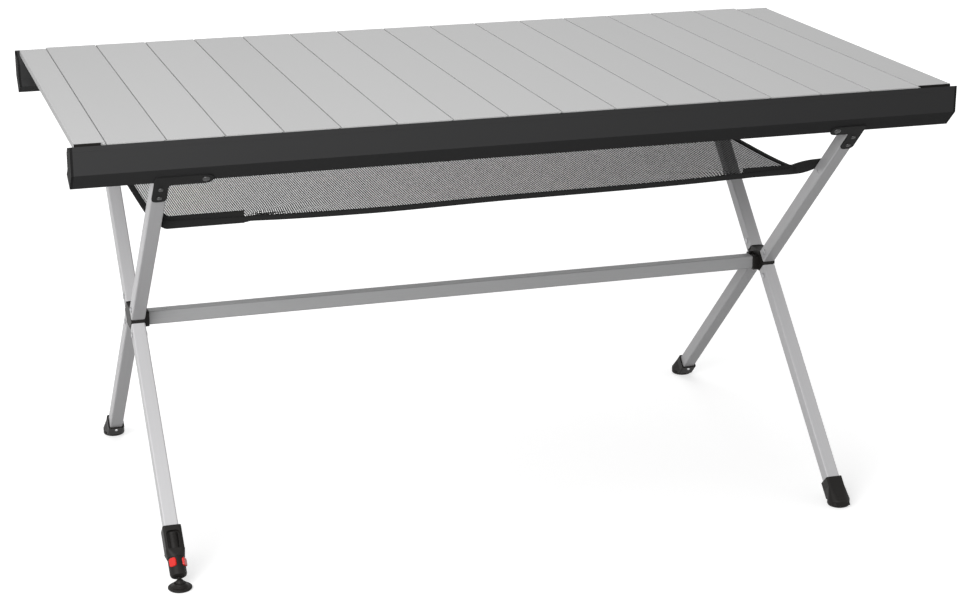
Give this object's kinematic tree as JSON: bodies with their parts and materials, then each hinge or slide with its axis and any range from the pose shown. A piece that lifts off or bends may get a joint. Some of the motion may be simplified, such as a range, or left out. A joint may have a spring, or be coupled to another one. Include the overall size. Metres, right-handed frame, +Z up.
{
  "type": "roll-top folding table",
  "caption": "Folding camp kitchen table with a roll-up slatted aluminium top on rails, crossed square-tube legs, a stretcher bar, a net shelf and an adjustable foot.",
  "frame": {"origin": "centre of the bounding box in X and Y, at ground level", "axes": "+X along the table, to the right as seen from the front; +Y towards the back; +Z up"},
  "size_m": [1.5, 0.78, 0.76],
  "materials": {
    "slat_aluminium": "satin",
    "tube_aluminium": "satin",
    "rail_anthracite": "satin",
    "black_plastic": "matte",
    "black_plate": "satin",
    "steel": "satin",
    "light_metal": "satin",
    "red_plastic": "gloss",
    "net_fabric": "woven"
  },
  "bodies": {
    "hubs": {"left_hub": "black_plastic", "right_hub": "black_plastic", "left_hub_pivots": "steel", "right_hub_pivots": "steel"},
    "front_frame": {"front_rail": "rail_anthracite", "front_rail_end_caps": "black_plastic", "front_left_upper_leg": "tube_aluminium", "front_right_upper_leg": "tube_aluminium", "front_left_bracket": "black_plate", "front_right_bracket": "black_plate", "front_bracket_screws": "steel", "front_bracket_rivets": "steel", "front_net_studs": "black_plate"},
    "rear_frame": {"rear_rail": "rail_anthracite", "rear_rail_end_caps": "black_plastic", "rear_left_upper_leg": "tube_aluminium", "rear_right_upper_leg": "tube_aluminium", "rear_left_bracket": "black_plate", "rear_right_bracket": "black_plate", "rear_bracket_screws": "steel", "rear_bracket_rivets": "steel", "rear_net_studs": "black_plate"},
    "front_left_lower": {"front_left_lower_leg": "tube_aluminium", "foot_housing": "black_plastic"},
    "foot_leveller": {"foot_plunger": "black_plastic"},
    "foot_base": {"foot_pad": "black_plastic"},
    "left_button": {"foot_button_left": "red_plastic"},
    "right_button": {"foot_button_right": "red_plastic"},
    "front_right_lower": {"front_right_lower_leg": "tube_aluminium", "front_right_foot": "black_plastic", "front_right_foot_screw": "steel"},
    "rear_left_lower": {"rear_left_lower_leg": "tube_aluminium", "rear_left_foot": "black_plastic", "rear_left_foot_screw": "steel"},
    "rear_right_lower": {"rear_right_lower_leg": "tube_aluminium", "rear_right_foot": "black_plastic", "rear_right_foot_screw": "steel"},
    "net": {"shelf_net": "net_fabric"},
    "stretcher": {"stretcher_bar": "tube_aluminium", "stretcher_end_hooks": "light_metal"},
    "slat_01_body": {"slat_01": "slat_aluminium", "left_end_slat_plugs": "black_plastic"},
    "slat_02_body": {"slat_02": "slat_aluminium"},
    "slat_03_body": {"slat_03": "slat_aluminium"},
    "slat_04_body": {"slat_04": "slat_aluminium"},
    "slat_05_body": {"slat_05": "slat_aluminium"},
    "slat_06_body": {"slat_06": "slat_aluminium"},
    "slat_07_body": {"slat_07": "slat_aluminium"},
    "slat_08_body": {"slat_08": "slat_aluminium"},
    "slat_09_body": {"slat_09": "slat_aluminium"},
    "slat_10_body": {"slat_10": "slat_aluminium"},
    "slat_11_body": {"slat_11": "slat_aluminium"},
    "slat_12_body": {"slat_12": "slat_aluminium"},
    "slat_13_body": {"slat_13": "slat_aluminium"},
    "slat_14_body": {"slat_14": "slat_aluminium"},
    "slat_15_body": {"slat_15": "slat_aluminium"},
    "slat_16_body": {"slat_16": "slat_aluminium"},
    "slat_17_body": {"slat_17": "slat_aluminium", "right_end_slat_plugs": "black_plastic"}
  },
  "joints": [
    {"name": "leg_fold", "type": "hinge", "parent": "hubs", "child": "front_frame", "pos_m": [0, -0.04016, 0.37963], "axis": [-1, 0, 0], "range_deg": [0, 45], "deforming": ["shelf_net"]},
    {"name": "rear_fold", "type": "hinge", "parent": "hubs", "child": "rear_frame", "pos_m": [0, 0.04016, 0.37963], "axis": [1, 0, 0], "range_deg": [0, 45.2]},
    {"name": "front_left_leg_fold", "type": "hinge", "parent": "hubs", "child": "front_left_lower", "pos_m": [-0.609, -0.04016, 0.33325], "axis": [1, 0, 0], "range_deg": [0, 45.2]},
    {"name": "front_right_leg_fold", "type": "hinge", "parent": "hubs", "child": "front_right_lower", "pos_m": [0.579, -0.04016, 0.33325], "axis": [1, 0, 0], "range_deg": [0, 45.2]},
    {"name": "rear_left_leg_fold", "type": "hinge", "parent": "hubs", "child": "rear_left_lower", "pos_m": [-0.609, 0.04016, 0.33325], "axis": [-1, 0, 0], "range_deg": [0, 45.2]},
    {"name": "rear_right_leg_fold", "type": "hinge", "parent": "hubs", "child": "rear_right_lower", "pos_m": [0.579, 0.04016, 0.33325], "axis": [-1, 0, 0], "range_deg": [0, 45.2]},
    {"name": "net_rise", "type": "slide", "parent": "hubs", "child": "net", "axis": [0, 0, 1], "range_m": [0, 0.0868]},
    {"name": "stretcher_lift", "type": "slide", "parent": "hubs", "child": "stretcher", "axis": [0, 0, 1], "range_m": [0, 0.06]},
    {"name": "top_lift", "type": "slide", "parent": "hubs", "child": "slat_01_body", "axis": [0, 0, 1], "range_m": [0, 0.602]},
    {"name": "top_roll", "type": "hinge", "parent": "slat_01_body", "child": "slat_02_body", "pos_m": [-0.6965, 0, 0.757], "axis": [0, -1, 0], "range_deg": [0, 28]},
    {"name": "roll_03", "type": "hinge", "parent": "slat_02_body", "child": "slat_03_body", "pos_m": [-0.60485, 0, 0.757], "axis": [0, -1, 0], "range_deg": [0, 28.7]},
    {"name": "roll_04", "type": "hinge", "parent": "slat_03_body", "child": "slat_04_body", "pos_m": [-0.51321, 0, 0.757], "axis": [0, -1, 0], "range_deg": [0, 29.2]},
    {"name": "roll_05", "type": "hinge", "parent": "slat_04_body", "child": "slat_05_body", "pos_m": [-0.42156, 0, 0.757], "axis": [0, -1, 0], "range_deg": [0, 29.7]},
    {"name": "roll_06", "type": "hinge", "parent": "slat_05_body", "child": "slat_06_body", "pos_m": [-0.32991, 0, 0.757], "axis": [0, -1, 0], "range_deg": [0, 30.7]},
    {"name": "roll_07", "type": "hinge", "parent": "slat_06_body", "child": "slat_07_body", "pos_m": [-0.23827, 0, 0.757], "axis": [0, -1, 0], "range_deg": [0, 31.7]},
    {"name": "roll_08", "type": "hinge", "parent": "slat_07_body", "child": "slat_08_body", "pos_m": [-0.14662, 0, 0.757], "axis": [0, -1, 0], "range_deg": [0, 32.7]},
    {"name": "roll_09", "type": "hinge", "parent": "slat_08_body", "child": "slat_09_body", "pos_m": [-0.05497, 0, 0.757], "axis": [0, -1, 0], "range_deg": [0, 33.7]},
    {"name": "roll_10", "type": "hinge", "parent": "slat_09_body", "child": "slat_10_body", "pos_m": [0.03667, 0, 0.757], "axis": [0, -1, 0], "range_deg": [0, 34.7]},
    {"name": "roll_11", "type": "hinge", "parent": "slat_10_body", "child": "slat_11_body", "pos_m": [0.12832, 0, 0.757], "axis": [0, -1, 0], "range_deg": [0, 36.2]},
    {"name": "roll_12", "type": "hinge", "parent": "slat_11_body", "child": "slat_12_body", "pos_m": [0.21997, 0, 0.757], "axis": [0, -1, 0], "range_deg": [0, 37.7]},
    {"name": "roll_13", "type": "hinge", "parent": "slat_12_body", "child": "slat_13_body", "pos_m": [0.31161, 0, 0.757], "axis": [0, -1, 0], "range_deg": [0, 38.7]},
    {"name": "roll_14", "type": "hinge", "parent": "slat_13_body", "child": "slat_14_body", "pos_m": [0.40326, 0, 0.757], "axis": [0, -1, 0], "range_deg": [0, 40.2]},
    {"name": "roll_15", "type": "hinge", "parent": "slat_14_body", "child": "slat_15_body", "pos_m": [0.49491, 0, 0.757], "axis": [0, -1, 0], "range_deg": [0, 41.7]},
    {"name": "roll_16", "type": "hinge", "parent": "slat_15_body", "child": "slat_16_body", "pos_m": [0.58655, 0, 0.757], "axis": [0, -1, 0], "range_deg": [0, 43.7]},
    {"name": "roll_17", "type": "hinge", "parent": "slat_16_body", "child": "slat_17_body", "pos_m": [0.6782, 0, 0.757], "axis": [0, -1, 0], "range_deg": [0, 45.2]},
    {"name": "foot_extend", "type": "slide", "parent": "front_left_lower", "child": "foot_leveller", "axis": [0, -0.7071, -0.7071], "range_m": [0, 0.03]},
    {"name": "pad_tilt", "type": "hinge", "parent": "foot_leveller", "child": "foot_base", "pos_m": [-0.609, -0.36886, 0.0095], "axis": [1, 0, 0], "range_deg": [-10, 10]},
    {"name": "left_button_press", "type": "slide", "parent": "front_left_lower", "child": "left_button", "axis": [0.5592, 0.5862, -0.5862], "range_m": [0, 0.0025], "stiffness_N_per_m": 2000, "springref_m": -0.001},
    {"name": "right_button_press", "type": "slide", "parent": "front_left_lower", "child": "right_button", "axis": [-0.866, 0.3536, -0.3536], "range_m": [0, 0.0025], "stiffness_N_per_m": 2000, "springref_m": -0.001}
  ],
  "couplings": [
    {"joint": "rear_fold", "follows": "leg_fold", "ratio": 1},
    {"joint": "front_left_leg_fold", "follows": "leg_fold", "ratio": 1},
    {"joint": "front_right_leg_fold", "follows": "leg_fold", "ratio": 1},
    {"joint": "rear_left_leg_fold", "follows": "leg_fold", "ratio": 1},
    {"joint": "rear_right_leg_fold", "follows": "leg_fold", "ratio": 1},
    {"joint": "net_rise", "follows": "leg_fold", "m_per_rad": 0.1103},
    {"joint": "top_lift", "follows": "leg_fold", "m_per_rad": 0.7639},
    {"joint": "roll_03", "follows": "top_roll", "ratio": 1.0179},
    {"joint": "roll_04", "follows": "top_roll", "ratio": 1.0357},
    {"joint": "roll_05", "follows": "top_roll", "ratio": 1.0536},
    {"joint": "roll_06", "follows": "top_roll", "ratio": 1.0893},
    {"joint": "roll_07", "follows": "top_roll", "ratio": 1.125},
    {"joint": "roll_08", "follows": "top_roll", "ratio": 1.1607},
    {"joint": "roll_09", "follows": "top_roll", "ratio": 1.1964},
    {"joint": "roll_10", "follows": "top_roll", "ratio": 1.2321},
    {"joint": "roll_11", "follows": "top_roll", "ratio": 1.2857},
    {"joint": "roll_12", "follows": "top_roll", "ratio": 1.3393},
    {"joint": "roll_13", "follows": "top_roll", "ratio": 1.375},
    {"joint": "roll_14", "follows": "top_roll", "ratio": 1.4286},
    {"joint": "roll_15", "follows": "top_roll", "ratio": 1.4821},
    {"joint": "roll_16", "follows": "top_roll", "ratio": 1.5536},
    {"joint": "roll_17", "follows": "top_roll", "ratio": 1.6071}
  ]
}
